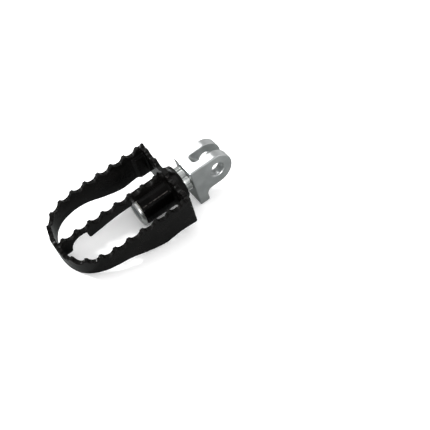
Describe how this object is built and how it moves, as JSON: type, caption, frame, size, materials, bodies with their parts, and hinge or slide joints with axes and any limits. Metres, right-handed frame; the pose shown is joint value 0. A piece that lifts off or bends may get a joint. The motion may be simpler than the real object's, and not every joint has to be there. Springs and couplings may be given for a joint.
{
  "type": "foot peg",
  "caption": "Wide toothed foot peg: a black cast platform that pivots on a spring-centred spindle in a silver clevis mount.",
  "frame": {"origin": "centre of the fold-pin bore, midway between the clevis ears", "axes": "+X along the pivot spindle towards the tip of the platform, +Y along the fold pin, +Z square to both, towards the tooth tips; the platform is turned -7.5 degrees about +X from level, as pictured"},
  "size_m": [0.1313, 0.0617, 0.0467],
  "materials": {
    "platform_black": "satin black coat",
    "clevis_satin": "satin",
    "ring_steel": "satin",
    "dowel_steel": "ground",
    "sleeve_steel": "ground",
    "bolt_zinc": "bright zinc",
    "cap_satin": "turned",
    "stop_pin_steel": "ground",
    "bush_bronze": "machined",
    "spring_steel": "drawn wire",
    "seal_rubber": "matte",
    "thrust_acetal": "matte"
  },
  "bodies": {
    "clevis_assembly": {"clevis_mount": "clevis_satin", "stop_ring": "ring_steel", "ring_dowel_near": "dowel_steel", "ring_dowel_far": "dowel_steel", "pivot_sleeve": "sleeve_steel", "pivot_bolt": "bolt_zinc", "end_cap": "cap_satin", "return_spring": "spring_steel"},
    "platform_assembly": {"platform": "platform_black", "stop_pin": "stop_pin_steel", "inner_bush": "bush_bronze", "outer_bush": "bush_bronze", "inner_dust_seal": "seal_rubber", "outer_dust_seal": "seal_rubber", "thrust_washer": "thrust_acetal"}
  },
  "joints": [
    {"name": "platform_pivot", "type": "hinge", "parent": "clevis_assembly", "child": "platform_assembly", "pos_m": [0.041, 0, 0], "axis": [1, 0, 0], "range_deg": [-2.5, 17.5], "stiffness_Nm_per_rad": 6, "springref_deg": 7.5, "deforming": ["return_spring"]}
  ]
}
